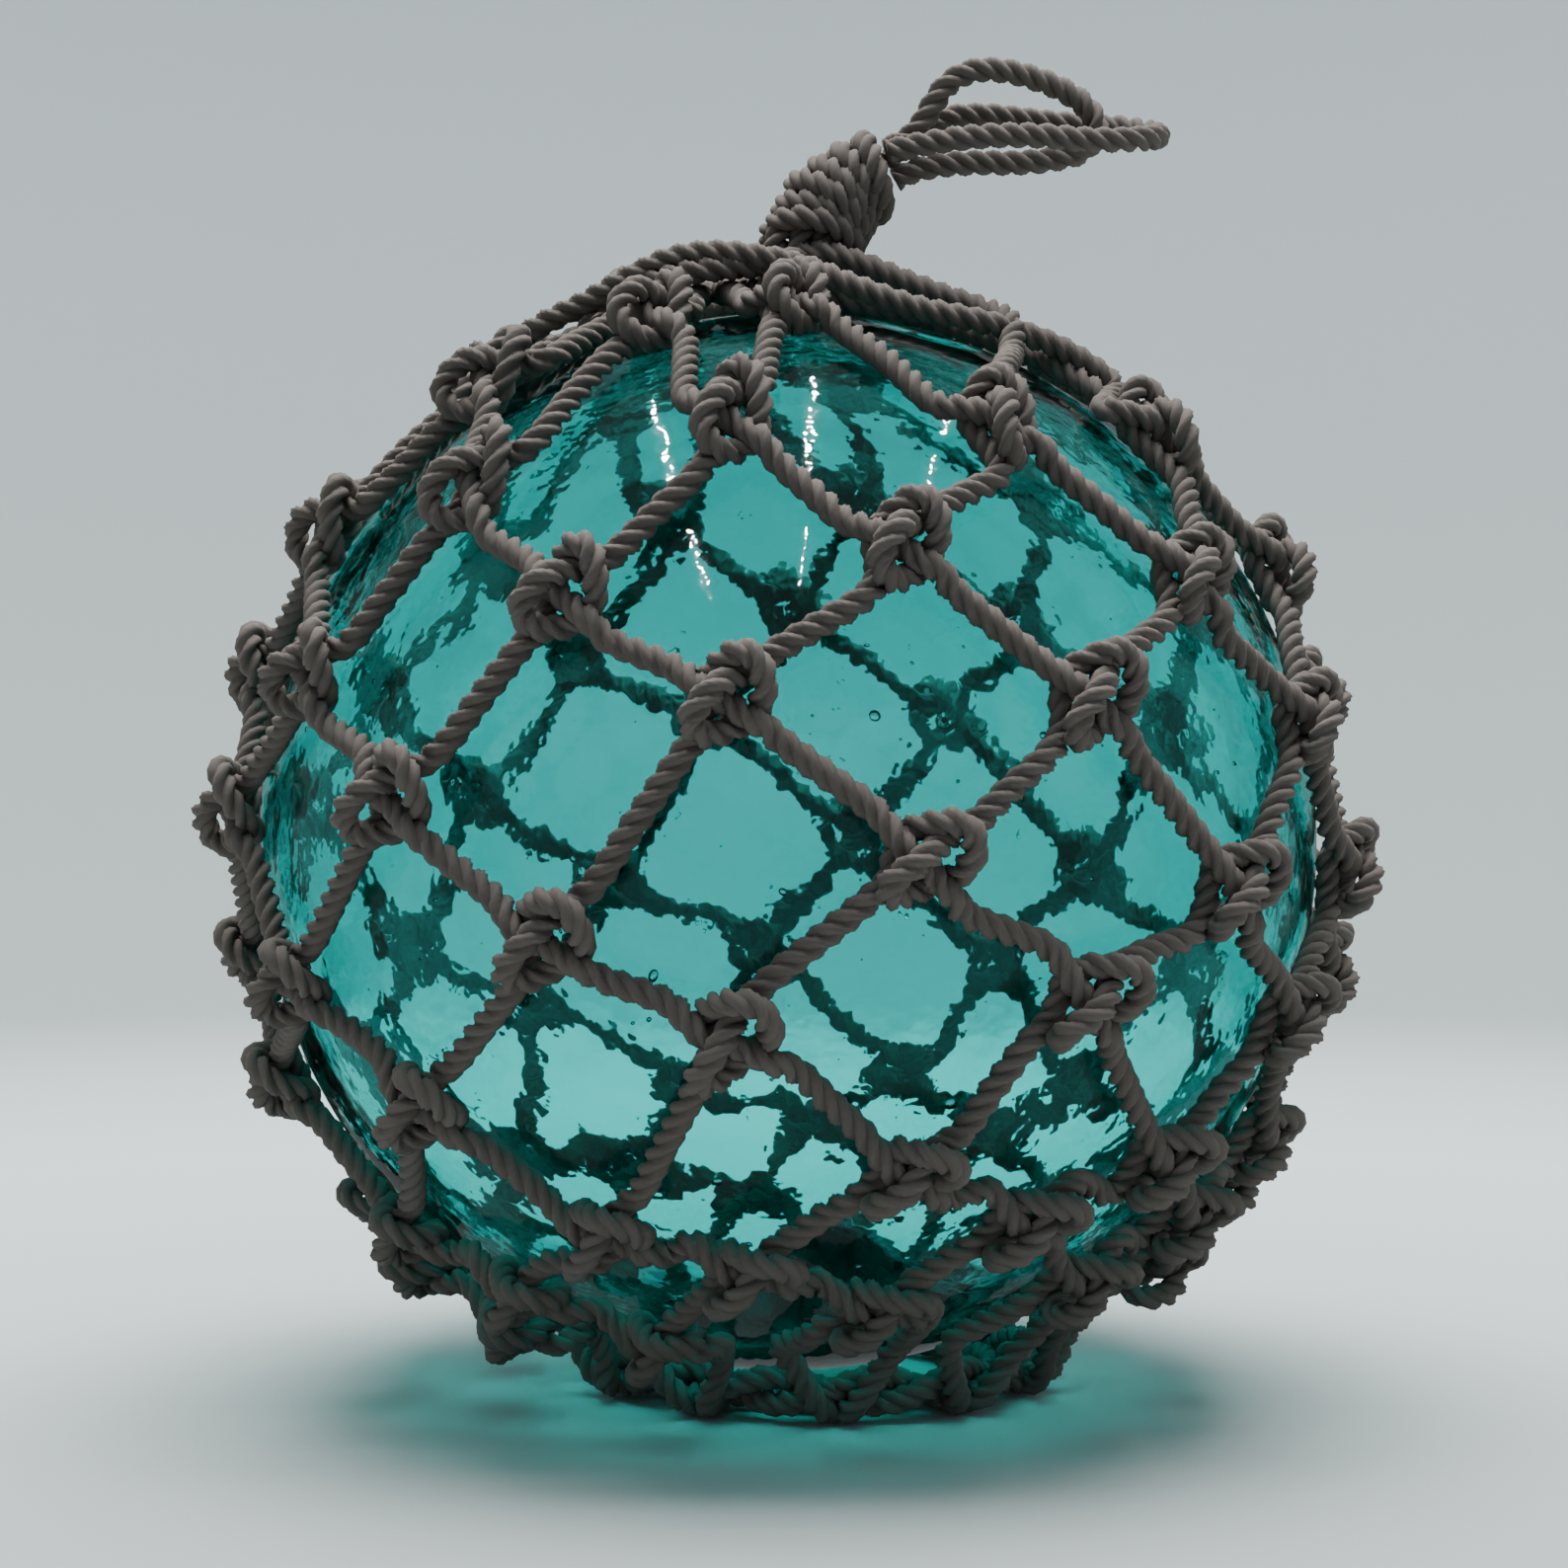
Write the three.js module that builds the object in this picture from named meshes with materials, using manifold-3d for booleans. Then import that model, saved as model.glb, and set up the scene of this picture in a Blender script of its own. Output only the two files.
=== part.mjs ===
// A glass fishing float in its knotted rope net, with a coiled hanger knot and two rope loops on top.
// Millimetres, +Z up. The float stands on the rope ring under it, and that ring's flat underside is z = 0.
// Places on the float are worked out from the ball's centre, then the whole is centred on the origin.
import * as THREE from 'three';
import { ConvexHull } from 'three/addons/math/ConvexHull.js';
import { mergeVertices } from 'three/addons/utils/BufferGeometryUtils.js';
import Module from 'manifold-3d';

const wasm = await Module();
wasm.setup();

// Driving dimensions
const BALL_RADIUS = 150;
const BALL_CENTRE_HEIGHT = 156;      // the ball hangs clear of the floor in its rope ring
const ROPE_RADIUS = 3.5;
const ROPE_SIDES = 6;
const TOUCH_GAP = 0.3;               // left between pieces that touch

// The net: rows of knots around the ball, eleven to a row, each row half a mesh on from the one above
const KNOTS_PER_ROW = 11;
const HALF_MESH = 180 / KNOTS_PER_ROW;                               // degrees of longitude
const ROW_LATITUDES = [66, 42.3, 25.9, 12.2, -3.9, -16.5, -33, -40.7, -50];
const FIRST_ROW = -1;
const LEAN_LEFT = 8.2;               // the net's own axis leans this much from upright
const LEAN_FORWARD = 0.3;
const LEG_HEIGHT = 8.9;              // the rope's centre above the glass, from knot to knot

// One knot, as a bevelled lump that stands on the glass, long along the rising diagonal
const KNOT_REACH = 12;               // from its centre to where each leg leaves it
const KNOT_HEIGHT = 19;
const KNOT_TOP = [8, 5];             // half sizes of its top face, along and across the diagonal
const KNOT_FOOT_HALF = 6;            // half length of its foot, along the diagonal

// The ring of gathered meshes on top, and the coiled ring that the float stands on
const THROAT_PROFILE = [[16, 150.6], [40, 146.2], [43, 150], [40, 160], [30, 166], [18, 166], [14, 160]];
const THROAT_MEAN_RADIUS = 32;
const THROAT_LEG_HEIGHT = 157;
const BASE_PROFILE = [[42, 0], [66, 0], [70, 4], [70, 13], [64, 15.5], [44, 9.4], [40, 6]];
const BASE_CENTRE = [9, 2];
const BASE_LEG_RADIUS = 60;
const BASE_LEG_HEIGHT = 9;
const BASE_LEG_SPREAD = 0.7;         // in half meshes, either side of the knot above
const RING_SIDES = 24;

// The hanger knot: turns wound on a short bent axis that starts near upright and leans over to +X
const HANGER_TURNS = 6;
const HANGER_SIDES = 12;
const HANGER_BEND_CENTRE = [33.5, 165];
const HANGER_BEND_RADIUS = 27;
const HANGER_FIRST_ANGLE = 168;      // degrees around the bend's centre, from +X towards +Z
const HANGER_LAST_ANGLE = 108;
const HANGER_FIRST_RADIUS = 16.5;
const HANGER_LAST_RADIUS = 12.5;
const HANGER_TURN_FLAT = 1.2;        // half width of a turn's outermost band, and
const HANGER_TURN_BEVEL = 2.4;       // how far its edges slope in from there
const HANGER_LEGS = [[-3.9, -7], [3.2, -8.5], [9.8, -6.5], [3, 7]];
const HANGER_LEG_HEIGHTS = [158, 174];
const HANGER_LEG_SPLAY = 1;          // how far a leg's ends lean to either side
const HANGER_LEG_GATHER = 0.9;       // share of its distance from the middle that a leg keeps at its top
const THROAT_CLEARANCE = 0.4;        // kept between the hanger knot and the throat ring

// The two loops' centre lines, from the hanger knot's end face out and back again
const ROUND_LOOP = [
  [27.9, 0.3, 198.4], [33.2, 0.4, 200.4], [38.2, 0.5, 205.2], [41.8, 0.5, 211.4], [46.3, 0.4, 217.4],
  [53.5, 0.2, 220.9], [62.5, 0, 220.8], [71.8, 0, 218.4], [80, 0, 214.8], [86.2, 0, 210], [88.8, 0, 203.8],
  [85, 0, 198], [77.5, 0, 195.6], [66, 0, 194.4], [54, 0, 194.4], [42, 0, 193.4], [35, 0, 191.6], [30.9, 0, 189.5],
];
const LONG_LOOP = [
  [28.5, -7.6, 196], [33.5, -7.9, 197.2], [40.5, -9, 198.4], [49, -11.6, 199.1], [60, -13.6, 199.5],
  [72, -14.2, 199.2], [82.5, -14.2, 198.3], [91.5, -13.8, 198.1], [99.2, -11.3, 198.9], [104.6, -5.8, 200.5],
  [106.3, 1, 202.5], [104.2, 7.8, 204.9], [98.5, 12.6, 207], [90, 14.4, 208], [80, 14.1, 208.6],
  [70, 12.8, 209.4], [58, 11, 210.3], [48, 9.8, 209.6], [40.5, 8.8, 206.2], [34, 8, 200.6], [28.5, 7.6, 196],
];
const LOOP_SIDES = 8;
const LOOP_STEP = 17;                // length of one straight step of a loop's tube

const glass = new THREE.MeshStandardMaterial({ color: 0x1f9c97, roughness: 0.05, metalness: 0 });
const rope = new THREE.MeshStandardMaterial({ color: 0x5d544f, roughness: 0.9, metalness: 0 });

const radians = THREE.MathUtils.degToRad;
const sine = (degrees) => Math.sin(radians(degrees));
const cosine = (degrees) => Math.cos(radians(degrees));

// Turns a closed three.js geometry into a solid for joining and cutting
function solidOf(geometry) {
  const bare = geometry.clone();
  bare.deleteAttribute('normal');
  bare.deleteAttribute('uv');
  const merged = mergeVertices(bare, 1e-4);
  return new wasm.Manifold(new wasm.Mesh({
    numProp: 3,
    vertProperties: new Float32Array(merged.attributes.position.array),
    triVerts: new Uint32Array(merged.index.array),
  }));
}

// Turns a solid back into a three.js geometry
function geometryOf(solid) {
  const mesh = solid.getMesh();
  const geometry = new THREE.BufferGeometry();
  geometry.setAttribute('position', new THREE.BufferAttribute(mesh.vertProperties, 3));
  geometry.setIndex(new THREE.BufferAttribute(mesh.triVerts, 1));
  geometry.computeVertexNormals();
  return geometry;
}

const join = (solids) => solids.reduce((whole, next) => whole.add(next));

// A closed ring turned from a profile of [radius, height] points around the Z axis
function ring(profile, sides) {
  const outline = [...profile, profile[0]].map(([radius, height]) => new THREE.Vector2(radius, height));
  return new THREE.LatheGeometry(outline, sides).rotateX(Math.PI / 2);
}

// The net's lean, as a turn about the ball's centre
const netLean = new THREE.Quaternion().setFromEuler(
  new THREE.Euler(radians(LEAN_FORWARD), radians(-LEAN_LEFT), 0, 'YXZ'),
);

// Outward direction of the knot in a row at a column, counted in half meshes from the front
function knotDirection(row, column) {
  const around = HALF_MESH * column;
  const longitude = around - 1.9 - 1.8 * row + 3.6 * sine(around - 4 * row + 38);
  const rowLatitude = ROW_LATITUDES[row - FIRST_ROW];
  const sideDroop = 2.5 * (1 - cosine(2 * longitude)) + 2.5 * sine(longitude);
  const unevenness = 2.2 * sine(4 * around - 19 * row + 94.5);
  const latitude = rowLatitude + cosine(rowLatitude) * (unevenness - sideDroop);
  const direction = new THREE.Vector3(
    cosine(latitude) * sine(longitude),
    -cosine(latitude) * cosine(longitude),
    sine(latitude),
  );
  return direction.applyQuaternion(netLean);
}

// A straight six-sided length of rope between two points
function straightRope(from, to) {
  const along = new THREE.Vector3().subVectors(to, from);
  const geometry = new THREE.CylinderGeometry(ROPE_RADIUS, ROPE_RADIUS, along.length(), ROPE_SIDES, 1);
  const turn = new THREE.Quaternion().setFromUnitVectors(new THREE.Vector3(0, 1, 0), along.clone().normalize());
  geometry.applyQuaternion(turn);
  geometry.translate(...from.clone().add(to).multiplyScalar(0.5));
  return solidOf(geometry);
}

// The corners of a rope's six-sided section where it leaves a knot. The mouth at the far end of the same
// leg counts its corners the other way round, and facing() puts them in this one's order.
function sectionCorners(centre, along, outward) {
  const up = outward.clone().addScaledVector(along, -outward.dot(along)).normalize();
  const across = new THREE.Vector3().crossVectors(along, up);
  return Array.from({ length: ROPE_SIDES }, (_, corner) => {
    const angle = (360 / ROPE_SIDES) * corner;
    return centre.clone()
      .addScaledVector(across, ROPE_RADIUS * cosine(angle))
      .addScaledVector(up, ROPE_RADIUS * sine(angle));
  });
}

// The foot and top corners that give a knot its body
function lumpCorners(outward, long, wide) {
  const [halfLong, halfWide] = KNOT_TOP;
  const top = [[1, 1], [1, -1], [-1, 1], [-1, -1]].map(([a, b]) => [KNOT_HEIGHT, a * halfLong, b * halfWide]);
  const foot = [-1, 1].map((a) => [TOUCH_GAP, a * KNOT_FOOT_HALF, 0]);
  return [...top, ...foot].map(([height, along, across]) => new THREE.Vector3()
    .addScaledVector(outward, BALL_RADIUS + height)
    .addScaledVector(long, along)
    .addScaledVector(wide, across));
}

// One knot as a convex lump with an open six-sided mouth towards each of its legs' targets. Gives the
// lump's triangles, and each mouth's corners in the order of the targets.
function knotBody(outward, targets) {
  const netAxis = new THREE.Vector3(0, 0, 1).applyQuaternion(netLean);
  const east = new THREE.Vector3().crossVectors(netAxis, outward).normalize();
  const north = new THREE.Vector3().crossVectors(outward, east);
  const long = new THREE.Vector3().addVectors(east, north).normalize();
  const wide = new THREE.Vector3().subVectors(north, east).normalize();
  const centre = outward.clone().multiplyScalar(BALL_RADIUS + LEG_HEIGHT);
  const directions = targets.map((target) => new THREE.Vector3().subVectors(target, centre).normalize());
  const mouths = directions.map((along) => {
    const others = directions.filter((other) => other !== along);
    const narrowest = Math.min(...others.map((other) => along.angleTo(other)));
    const reach = Math.max(KNOT_REACH, (ROPE_RADIUS + TOUCH_GAP) / Math.tan(narrowest / 2));
    return sectionCorners(centre.clone().addScaledVector(along, reach), along, outward);
  });
  const mouthOf = new Map(mouths.flatMap((mouth, index) => mouth.map((corner) => [corner, index])));
  const hull = new ConvexHull().setFromPoints([...mouthOf.keys(), ...lumpCorners(outward, long, wide)]);
  const triangles = hull.faces
    .map(({ edge }) => [edge.tail().point, edge.head().point, edge.next.head().point])
    .filter(([a, b, c]) => {
      const mouth = mouthOf.get(a);
      return mouth === undefined || mouth !== mouthOf.get(b) || mouth !== mouthOf.get(c);
    });
  return { triangles, mouths };
}

// The side triangles of a leg from a mouth to its other end, whose corners match one for one
function legSides(near, far) {
  return near.flatMap((corner, index) => {
    const next = (index + 1) % ROPE_SIDES;
    return [[near[next], corner, far[index]], [near[next], far[index], far[next]]];
  });
}

// The corners of a facing mouth, put in the order of the corners that look at them
const facing = (mouth) => mouth.map((_, index) => mouth[(ROPE_SIDES + ROPE_SIDES / 2 - index) % ROPE_SIDES]);

// A leg from a mouth to a point inside a ring, closed at its end
function endingLeg(mouth, target) {
  const middle = mouth.reduce((sum, corner) => sum.add(corner), new THREE.Vector3()).divideScalar(ROPE_SIDES);
  const shift = new THREE.Vector3().subVectors(target, middle);
  const end = mouth.map((corner) => corner.clone().add(shift));
  const cap = end.slice(2).map((corner, index) => [end[0], corner, end[index + 1]]);
  return [...legSides(mouth, end), ...cap];
}

// A solid from a list of triangles of three points
function solidOfTriangles(triangles) {
  const geometry = new THREE.BufferGeometry().setFromPoints(triangles.flat());
  return solidOf(geometry);
}

// All knots and the straight legs between them, as one closed body
function makeKnotwork() {
  const lastRow = FIRST_ROW + ROW_LATITUDES.length - 1;
  const columns = 2 * KNOTS_PER_ROW;
  const key = (row, column) => `${row} ${(column + columns) % columns}`;
  const legCentre = (row, column) => knotDirection(row, column).multiplyScalar(BALL_RADIUS + LEG_HEIGHT);
  const bodies = new Map();
  for (let row = FIRST_ROW; row <= lastRow; row += 1) {
    for (let knot = 0; knot < KNOTS_PER_ROW; knot += 1) {
      const column = 2 * knot + Math.abs(row % 2);
      const above = row === FIRST_ROW
        ? [throatPoint(HALF_MESH * column)]
        : [-1, 1].map((side) => legCentre(row - 1, column + side));
      const below = [-1, 1].map((side) => (row === lastRow
        ? basePoint(HALF_MESH * (column + BASE_LEG_SPREAD * side))
        : legCentre(row + 1, column + side)));
      const targets = [...above, ...below];
      bodies.set(key(row, column), { row, column, targets, ...knotBody(knotDirection(row, column), targets) });
    }
  }
  const triangles = [];
  for (const { row, column, targets, mouths, triangles: lump } of bodies.values()) {
    const upward = targets.length - 2;
    triangles.push(...lump);
    if (row === FIRST_ROW) triangles.push(...endingLeg(mouths[0], targets[0]));
    [-1, 1].forEach((side, index) => {
      const mouth = mouths[upward + index];
      const other = bodies.get(key(row + 1, column + side));
      triangles.push(...(other
        ? legSides(mouth, facing(other.mouths[1 - index]))
        : endingLeg(mouth, targets[upward + index])));
    });
  }
  return solidOfTriangles(triangles);
}

function throatSolid() {
  return solidOf(ring(THROAT_PROFILE, RING_SIDES).applyQuaternion(netLean));
}

// The rope net: knots and legs, the gathered throat on top and the ring at the base
function makeNet() {
  const baseRing = ring(BASE_PROFILE, RING_SIDES).translate(...BASE_CENTRE, -BALL_CENTRE_HEIGHT);
  return geometryOf(join([makeKnotwork(), throatSolid(), solidOf(baseRing)]));
}

// Where a leg of the top row joins the throat ring, inside its section
function throatPoint(longitude) {
  const point = new THREE.Vector3(
    THROAT_MEAN_RADIUS * sine(longitude),
    -THROAT_MEAN_RADIUS * cosine(longitude),
    THROAT_LEG_HEIGHT,
  );
  return point.applyQuaternion(netLean);
}

// Where a leg of the bottom row joins the base ring, inside its section
function basePoint(longitude) {
  return new THREE.Vector3(
    BASE_CENTRE[0] + BASE_LEG_RADIUS * sine(longitude),
    BASE_CENTRE[1] - BASE_LEG_RADIUS * cosine(longitude),
    BASE_LEG_HEIGHT - BALL_CENTRE_HEIGHT,
  );
}

// The hanger knot: rounded turns set side by side along the bent axis, and the legs that hold it down
function makeHangerKnot() {
  const pieces = [];
  for (let turn = 0; turn < HANGER_TURNS; turn += 1) {
    const share = turn / (HANGER_TURNS - 1);
    const angle = THREE.MathUtils.lerp(HANGER_FIRST_ANGLE, HANGER_LAST_ANGLE, share);
    const radius = THREE.MathUtils.lerp(HANGER_FIRST_RADIUS, HANGER_LAST_RADIUS, share);
    const edge = radius - HANGER_TURN_BEVEL;
    const upperHalf = [[radius, HANGER_TURN_FLAT], [edge, ROPE_RADIUS], [0, ROPE_RADIUS]];
    const profile = [...upperHalf.map(([r, h]) => [r, -h]).reverse(), ...upperHalf];
    const disc = new THREE.LatheGeometry(profile.map(([r, h]) => new THREE.Vector2(r, h)), HANGER_SIDES);
    disc.rotateX(Math.PI / 2);
    disc.rotateY(radians(180 - angle));
    disc.translate(
      HANGER_BEND_CENTRE[0] + HANGER_BEND_RADIUS * cosine(angle),
      0,
      HANGER_BEND_CENTRE[1] + HANGER_BEND_RADIUS * sine(angle),
    );
    pieces.push(solidOf(disc));
  }
  for (const [x, y] of HANGER_LEGS) {
    const [low, high] = HANGER_LEG_HEIGHTS;
    pieces.push(straightRope(
      new THREE.Vector3(x - HANGER_LEG_SPLAY, y, low),
      new THREE.Vector3(x + HANGER_LEG_SPLAY, y * HANGER_LEG_GATHER, high),
    ));
  }
  const grownThroat = THROAT_PROFILE.map(([radius, height]) => [
    radius + Math.sign(radius - THROAT_MEAN_RADIUS) * THROAT_CLEARANCE,
    height + Math.sign(height - THROAT_LEG_HEIGHT) * THROAT_CLEARANCE,
  ]);
  const throat = solidOf(ring(grownThroat, RING_SIDES).applyQuaternion(netLean));
  return geometryOf(join(pieces).subtract(throat));
}

// One loop of rope as a plain eight-sided tube along its centre line
function makeLoop(points) {
  const path = new THREE.CatmullRomCurve3(points.map((point) => new THREE.Vector3(...point)), false, 'centripetal');
  const section = new THREE.Shape();
  for (let side = 0; side < LOOP_SIDES; side += 1) {
    const angle = (side / LOOP_SIDES) * 2 * Math.PI;
    const corner = [ROPE_RADIUS * Math.cos(angle), ROPE_RADIUS * Math.sin(angle)];
    if (side === 0) section.moveTo(...corner);
    else section.lineTo(...corner);
  }
  section.closePath();
  const steps = Math.ceil(path.getLength() / LOOP_STEP);
  return new THREE.ExtrudeGeometry(section, { steps, bevelEnabled: false, extrudePath: path });
}

function named(name, geometry, material) {
  const mesh = new THREE.Mesh(geometry, material);
  mesh.name = name;
  return mesh;
}

const float = new THREE.Group();
float.add(
  named('glass_ball', new THREE.SphereGeometry(BALL_RADIUS, 32, 16).rotateX(Math.PI / 2), glass),
  named('rope_net', makeNet(), rope),
  named('hanger_knot', makeHangerKnot(), rope),
);
const standing = new THREE.Box3().setFromObject(float).getCenter(new THREE.Vector3());
float.add(
  named('hanger_loop_round', makeLoop(ROUND_LOOP), rope),
  named('hanger_loop_long', makeLoop(LONG_LOOP), rope),
);
float.position.set(-standing.x, -standing.y, BALL_CENTRE_HEIGHT);

const part = new THREE.Group();
part.add(float);

export default part;
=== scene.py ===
"""Looks of the glass fishing float in its rope net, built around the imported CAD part.

Shapes are worked out in millimetres from the ball's centre (x right, y away from the camera, z up),
as in the CAD part, and to_world() turns them into the frame's metres.
"""

import math

import bmesh
import bpy
import numpy as np
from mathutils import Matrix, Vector, noise


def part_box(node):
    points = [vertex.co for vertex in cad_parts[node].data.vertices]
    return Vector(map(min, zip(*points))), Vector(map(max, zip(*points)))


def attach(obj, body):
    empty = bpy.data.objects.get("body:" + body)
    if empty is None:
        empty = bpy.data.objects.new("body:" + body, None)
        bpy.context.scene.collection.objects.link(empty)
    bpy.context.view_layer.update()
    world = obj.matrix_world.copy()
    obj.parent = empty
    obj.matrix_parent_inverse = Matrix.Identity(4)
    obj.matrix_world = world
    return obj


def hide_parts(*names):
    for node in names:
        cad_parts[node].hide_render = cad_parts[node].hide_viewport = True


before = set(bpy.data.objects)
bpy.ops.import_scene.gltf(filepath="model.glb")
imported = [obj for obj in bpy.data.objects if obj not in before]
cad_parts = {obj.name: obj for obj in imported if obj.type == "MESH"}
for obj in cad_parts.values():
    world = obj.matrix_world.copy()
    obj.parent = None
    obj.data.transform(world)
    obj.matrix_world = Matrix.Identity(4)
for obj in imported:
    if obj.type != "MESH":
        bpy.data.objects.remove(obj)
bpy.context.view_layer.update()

MM = 0.001
BALL_LOW, BALL_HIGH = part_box("glass_ball")
BALL_CENTRE = (np.array(BALL_LOW) + np.array(BALL_HIGH)) / 2
BALL_RADIUS = 150.0
FLOOR = -BALL_CENTRE[2] / MM  # the floor's height from the ball's centre


def to_world(points):
    """Points in millimetres from the ball's centre, as metres in the frame."""
    return BALL_CENTRE + MM * np.asarray(points, float)[..., :3]


def sind(degrees):
    return math.sin(math.radians(degrees))


def cosd(degrees):
    return math.cos(math.radians(degrees))


def unit(vector):
    return vector / np.linalg.norm(vector)


# ---------------------------------------------------------------------------------------------
# Camera: level, a little left of the ball's centre and above it
# ---------------------------------------------------------------------------------------------

CAMERA_FROM_BALL = (-1.1, -900.0, 15.9)
CAMERA_LENS = 71.9


def make_camera():
    data = bpy.data.cameras.new("camera")
    data.lens = CAMERA_LENS
    data.clip_start = 0.05
    camera = bpy.data.objects.new("camera", data)
    camera.location = to_world(CAMERA_FROM_BALL)
    camera.rotation_euler = (math.radians(90), 0, 0)
    bpy.context.scene.collection.objects.link(camera)
    bpy.context.scene.camera = camera


# ---------------------------------------------------------------------------------------------
# Rope: three strands laid up right-handed, swept along a path as one lobed tube
# ---------------------------------------------------------------------------------------------

ROPE_RADIUS = 3.5  # as in the CAD part
ROPE_DIAMETER = 2 * ROPE_RADIUS
STRANDS = 3
STRAND_OFFSET = 1.85  # a strand's centre from the rope's centre
STRAND_RADIUS = 1.98
LAY_LENGTH = 16.0  # along the rope, for one full turn of the strands
ROPE_STEP = 1.6  # along the rope, from one ring of the mesh to the next
NET_LOBE_SIDES = 4  # mesh sides to each strand's lobe, in the net
HANGER_LOBE_SIDES = 6  # and in the hanger, which is seen against the backdrop
CURVE_SAMPLES = 10  # on each stretch between two given points, before the even step is laid out
TURN_BETWEEN_ROPES = 0.37  # of a full turn, from one rope's strands to those of the next in a piece
SHIFT_BETWEEN_ROPES = 211.0  # more length along the next rope's UV map, so that no two fade alike


def even_path(points, step=ROPE_STEP):
    """A centripetal Catmull-Rom curve through the points, at an even step. A point has x, y and z, and may
    have a fourth number, the share of its full thickness that the rope keeps there."""
    points = np.array([list(p) + [1.0] * (4 - len(p)) for p in points], float)
    ends = np.vstack([2 * points[0] - points[1], points, 2 * points[-1] - points[-2]])
    chords = np.linalg.norm(np.diff(ends[:, :3], axis=0), axis=1)
    times = np.concatenate([[0], np.cumsum(np.sqrt(np.maximum(chords, 1e-6)))])
    share = np.linspace(0, 1, CURVE_SAMPLES, endpoint=False)
    samples = []
    for i in range(1, len(ends) - 2):
        t0, t1, t2, t3 = times[i - 1 : i + 3]
        t = (t1 + share * (t2 - t1))[:, None]
        p0, p1, p2, p3 = ends[i - 1 : i + 3]
        a1 = ((t1 - t) * p0 + (t - t0) * p1) / (t1 - t0)
        a2 = ((t2 - t) * p1 + (t - t1) * p2) / (t2 - t1)
        a3 = ((t3 - t) * p2 + (t - t2) * p3) / (t3 - t2)
        b1 = ((t2 - t) * a1 + (t - t0) * a2) / (t2 - t0)
        b2 = ((t3 - t) * a2 + (t - t1) * a3) / (t3 - t1)
        samples.append(((t2 - t) * b1 + (t - t1) * b2) / (t2 - t1))
    dense = np.vstack([*samples, points[-1:]])
    along = np.concatenate([[0], np.cumsum(np.linalg.norm(np.diff(dense[:, :3], axis=0), axis=1))])
    count = max(3, round(along[-1] / step) + 1)
    even = np.linspace(0, along[-1], count)
    return np.column_stack([np.interp(even, along, dense[:, k]) for k in range(4)])


def lobe_profile(lobe_sides):
    """Distances from the rope's centre to its surface, from one groove round to the next."""
    angles = [math.radians(120 * side / lobe_sides - 60) for side in range(lobe_sides)]
    return [
        STRAND_OFFSET * math.cos(a) + math.sqrt(STRAND_RADIUS**2 - (STRAND_OFFSET * math.sin(a)) ** 2)
        for a in angles
    ]


def rope_rings(path, lobe_sides, turn):
    """The mesh points around each point of a path, with the strands turning along it."""
    centres, thickness = path[:, :3], path[:, 3]
    tangents = np.gradient(centres, axis=0)
    tangents /= np.linalg.norm(tangents, axis=1)[:, None]
    normals = np.empty_like(tangents)
    helper = np.eye(3)[np.argmin(np.abs(tangents[0]))]
    normal = unit(np.cross(tangents[0], helper))
    for i, tangent in enumerate(tangents):
        normal = unit(normal - tangent * normal.dot(tangent))
        normals[i] = normal
    across = np.cross(tangents, normals)
    along = np.concatenate([[0], np.cumsum(np.linalg.norm(np.diff(centres, axis=0), axis=1))])
    sides = STRANDS * lobe_sides
    radii = np.tile(lobe_profile(lobe_sides), STRANDS)
    angles = 2 * math.pi * (along[:, None] / LAY_LENGTH + turn + np.arange(sides) / sides)
    offsets = (
        np.cos(angles)[..., None] * normals[:, None, :] + np.sin(angles)[..., None] * across[:, None, :]
    )
    return centres[:, None, :] + offsets * (radii * thickness[:, None])[..., None], along


def add_object(name, mesh, material):
    """Puts a mesh in the scene as a smooth object of one material."""
    mesh.polygons.foreach_set("use_smooth", np.ones(len(mesh.polygons), bool))
    mesh.materials.append(material)
    added = bpy.data.objects.new(name, mesh)
    bpy.context.scene.collection.objects.link(added)
    return added


def sharpen_grooves(mesh, lobe_sides):
    """Marks the edges along the grooves between the strands, so that each strand is shaded by itself."""
    sides = STRANDS * lobe_sides
    edges = np.empty(2 * len(mesh.edges), int)
    mesh.edges.foreach_get("vertices", edges)
    edges = edges.reshape(-1, 2)
    in_groove = (edges % sides % lobe_sides == 0).all(axis=1)
    lengthwise = edges[:, 0] // sides != edges[:, 1] // sides
    mesh.edges.foreach_set("use_edge_sharp", in_groove & lengthwise)


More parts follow.
